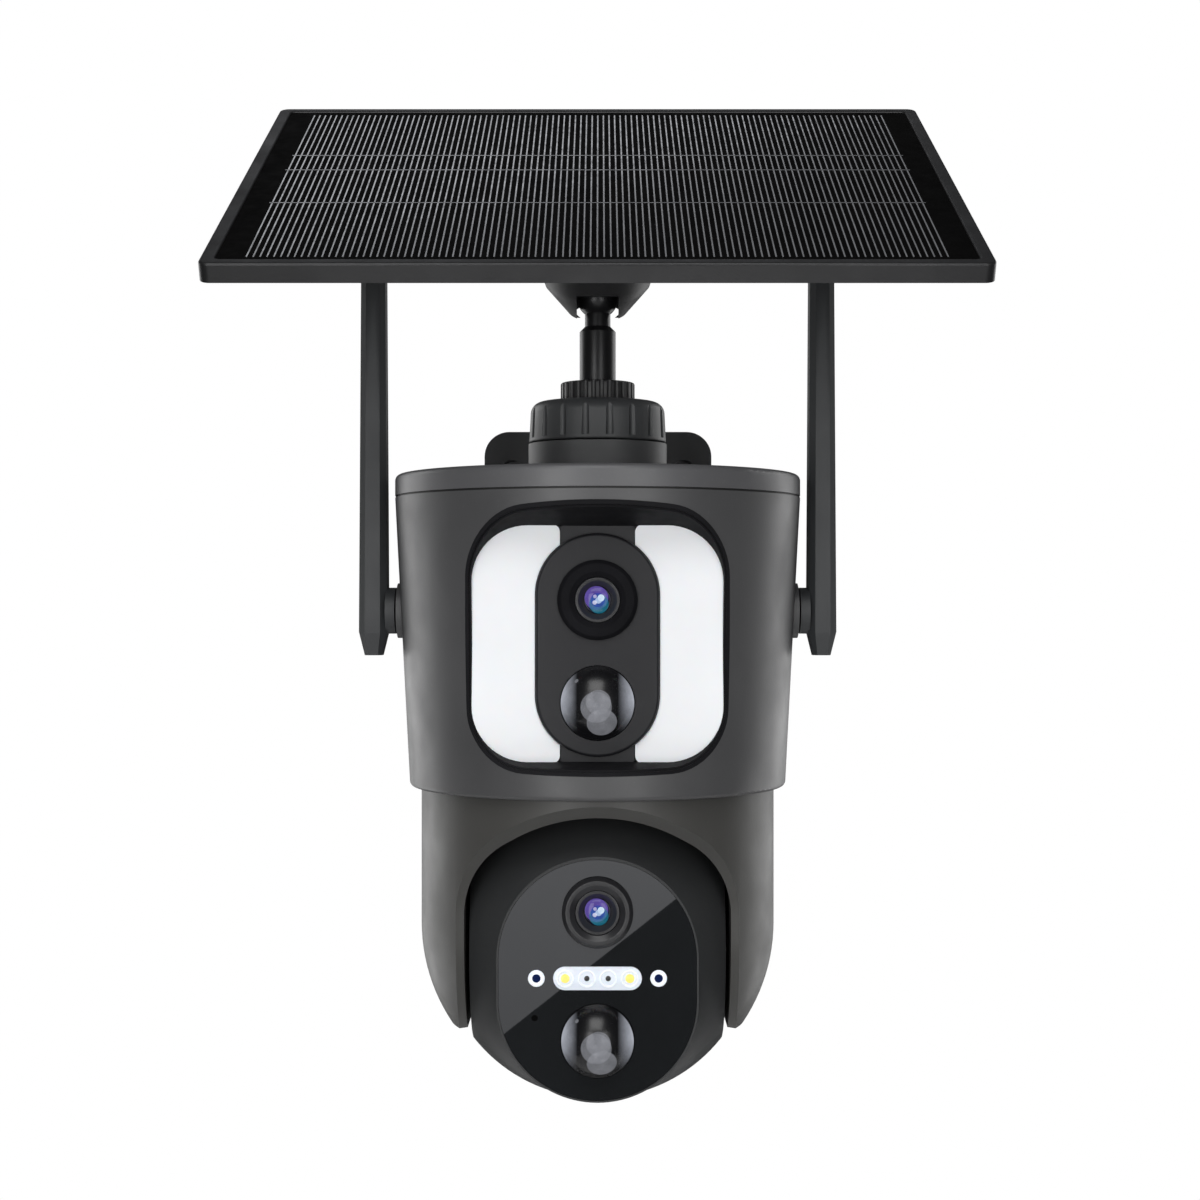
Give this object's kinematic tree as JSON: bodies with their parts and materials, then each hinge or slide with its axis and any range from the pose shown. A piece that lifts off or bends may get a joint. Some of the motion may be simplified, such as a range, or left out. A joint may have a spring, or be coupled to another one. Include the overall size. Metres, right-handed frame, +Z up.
{
  "type": "solar security camera",
  "caption": "Wall-mounted solar security camera: conical housing with fixed lens and floodlights, turning and tilting lower camera, side antennas and a tilting solar panel on a ball joint.",
  "frame": {"origin": "centre of the back face of the wall plate", "axes": "+Z up, the camera faces -Y, +Y points into the wall, +X to the viewer's right"},
  "size_m": [0.2066, 0.1788, 0.3078],
  "materials": {
    "housing_grey": "fine matte moulding",
    "cap_grey": "fine matte moulding",
    "yoke_grey": "fine matte moulding",
    "head_grey": "satin moulding",
    "bracket_grey": "matte moulding",
    "antenna_black": "soft matte",
    "nut_grey": "ribbed moulding",
    "nut_black": "textured moulding",
    "post_metal": "black coating",
    "insert_black": "matte",
    "diffuser_white": "milky",
    "lens_black": "black",
    "lens_ring_black": "satin black",
    "lens_glass": "coated optical glass",
    "dome_clear": "smoked clear polyethylene",
    "window_black": "smoked acrylic",
    "panel_frame_black": "black anodised",
    "panel_back_black": "matte moulding",
    "panel_glass": "toughened glass",
    "solar_cell": "monocrystalline cells",
    "circuit_green": "solder mask",
    "sensor_metal": "tinned can",
    "led_yellow": "phosphor",
    "steel": "zinc plated",
    "cell_wrap": "shrink sleeve",
    "gear_white": "acetal",
    "rubber_black": "soft",
    "button_red": "matte"
  },
  "bodies": {
    "bracket": {"wall_bracket": "bracket_grey"},
    "housing": {"top_cap": "cap_grey", "cap_seal": "rubber_black", "cap_screws": "steel", "upper_housing": "housing_grey", "insert_panel": "insert_black", "light_diffuser_left": "diffuser_white", "light_diffuser_right": "diffuser_white", "lens_capsule": "lens_black", "upper_lens_ring": "lens_ring_black", "upper_lens_barrel": "lens_ring_black", "upper_lens_glass": "lens_glass", "upper_motion_dome": "dome_clear", "upper_motion_sensor": "sensor_metal", "light_board": "circuit_green", "flood_leds": "led_yellow", "base_plate": "housing_grey", "pan_bearing": "gear_white", "battery_cells": "cell_wrap", "main_board": "circuit_green", "modem_module": "sensor_metal", "speaker": "nut_black", "charge_socket": "steel", "card_reader": "steel", "pan_motor": "steel", "antenna_sockets": "housing_grey", "panel_post": "post_metal"},
    "power_button": {"power_button": "button_red"},
    "reset_button": {"reset_button": "rubber_black"},
    "service_cover": {"service_cover": "rubber_black"},
    "pan_pinion": {"pan_pinion": "gear_white"},
    "antenna_left": {"antenna_left": "antenna_black"},
    "antenna_right": {"antenna_right": "antenna_black"},
    "collar_nut": {"collar_nut": "nut_grey"},
    "lock_nut": {"lock_nut": "nut_black"},
    "ball_seat": {"ball_seat": "gear_white"},
    "panel": {"panel_socket": "panel_back_black", "panel_frame": "panel_frame_black", "panel_tray": "panel_back_black", "cell_sheet": "solar_cell", "panel_glass": "panel_glass", "panel_back": "panel_back_black"},
    "yoke": {"yoke_shell": "yoke_grey", "arm_covers": "yoke_grey", "pan_gear": "gear_white", "tilt_pivots": "gear_white", "tilt_gear": "gear_white"},
    "head": {"head_front_shell": "head_grey", "head_rear_shell": "head_grey", "front_window": "window_black", "lower_lens_ring": "lens_ring_black", "lower_lens_barrel": "lens_ring_black", "lower_lens_glass": "lens_glass", "lower_motion_dome": "dome_clear", "lower_motion_sensor": "sensor_metal", "led_board": "circuit_green", "head_leds": "led_yellow", "camera_board": "circuit_green", "tilt_motor": "steel"},
    "tilt_pinion": {"tilt_pinion": "gear_white"}
  },
  "joints": [
    {"name": "housing_swivel", "type": "hinge", "parent": "bracket", "child": "housing", "pos_m": [0, -0.092, 0.0233], "axis": [0, 0, 1], "range_deg": [-45, 45]},
    {"name": "collar_nut_turn", "type": "hinge", "parent": "housing", "child": "collar_nut", "pos_m": [0, -0.092, 0.0343], "axis": [0, 0, 1], "range_deg": [0, 180]},
    {"name": "lock_nut_turn", "type": "hinge", "parent": "housing", "child": "lock_nut", "pos_m": [0, -0.092, 0.0433], "axis": [0, 0, 1], "range_deg": [0, 180]},
    {"name": "antenna_left_tilt", "type": "hinge", "parent": "housing", "child": "antenna_left", "pos_m": [-0.067, -0.092, -0.0219], "axis": [1, 0, 0], "range_deg": [-20, 90]},
    {"name": "antenna_right_tilt", "type": "hinge", "parent": "housing", "child": "antenna_right", "pos_m": [0.067, -0.092, -0.0219], "axis": [1, 0, 0], "range_deg": [-20, 90]},
    {"name": "pan", "type": "hinge", "parent": "housing", "child": "yoke", "pos_m": [0, -0.092, -0.0687], "axis": [0, 0, 1], "range_deg": [-175, 175]},
    {"name": "pan_pinion_spin", "type": "hinge", "parent": "housing", "child": "pan_pinion", "pos_m": [0.0202, -0.10366, -0.0627], "axis": [0, 0, 1], "range_deg": [-602, 602]},
    {"name": "tilt", "type": "hinge", "parent": "yoke", "child": "head", "pos_m": [0, -0.092, -0.1193], "axis": [1, 0, 0], "range_deg": [-20, 80]},
    {"name": "tilt_pinion_spin", "type": "hinge", "parent": "head", "child": "tilt_pinion", "pos_m": [0.0292, -0.10059, -0.10088], "axis": [1, 0, 0], "range_deg": [-58, 229]},
    {"name": "panel_spin", "type": "hinge", "parent": "housing", "child": "ball_seat", "pos_m": [0, -0.092, 0.0719], "axis": [0, 0, 1], "range_deg": [-25, 25]},
    {"name": "panel_tilt", "type": "hinge", "parent": "ball_seat", "child": "panel", "pos_m": [0, -0.092, 0.0719], "axis": [1, 0, 0], "range_deg": [-24, 22]},
    {"name": "service_cover_open", "type": "hinge", "parent": "housing", "child": "service_cover", "pos_m": [0, -0.0368, -0.0271], "axis": [1, 0, 0], "range_deg": [0, 95]},
    {"name": "power_button_press", "type": "slide", "parent": "housing", "child": "power_button", "axis": [0, -1, 0], "range_m": [0, 0.0008], "stiffness_N_per_m": 400},
    {"name": "reset_button_press", "type": "slide", "parent": "housing", "child": "reset_button", "axis": [0, -1, 0], "range_m": [0, 0.0008], "stiffness_N_per_m": 400}
  ],
  "couplings": [
    {"joint": "pan_pinion_spin", "follows": "pan", "ratio": -3.4286},
    {"joint": "tilt_pinion_spin", "follows": "tilt", "ratio": 2.8571}
  ]
}
